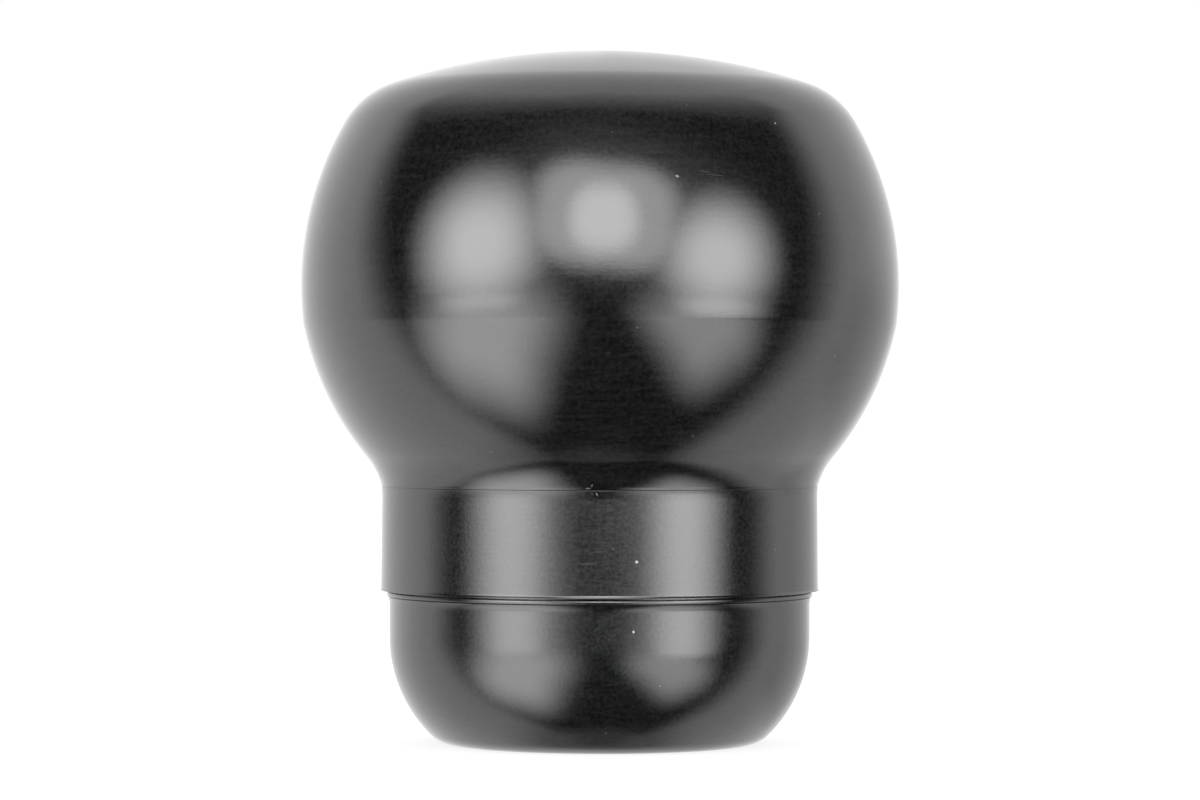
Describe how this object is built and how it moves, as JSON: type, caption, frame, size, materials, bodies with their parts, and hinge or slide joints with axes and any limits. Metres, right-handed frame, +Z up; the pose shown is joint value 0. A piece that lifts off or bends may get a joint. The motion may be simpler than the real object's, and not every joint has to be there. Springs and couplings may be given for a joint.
{
  "type": "gear shift knob",
  "caption": "Turned black anodised aluminium gear shift knob: ball head with a shallow crown, neck ring, round-bottomed base collar and a metric thread for the lever.",
  "frame": {"origin": "centre of the flat base, at the bottom of the base collar", "axes": "+Z up along the lever's axis, from the base to the crown"},
  "size_m": [0.05, 0.05, 0.058],
  "materials": {
    "head_anodised": "black anodised over fine turning lines, satin gloss",
    "ring_anodised": "black anodised over a slightly coarser turned surface, satin gloss",
    "collar_anodised": "black anodised over a slightly coarser turned surface, satin gloss",
    "insert_steel": "turned and tapped steel, zinc plated"
  },
  "bodies": {
    "root": {"head": "head_anodised", "neck_ring": "ring_anodised", "base_collar": "collar_anodised", "thread_insert": "insert_steel"}
  },
  "joints": []
}
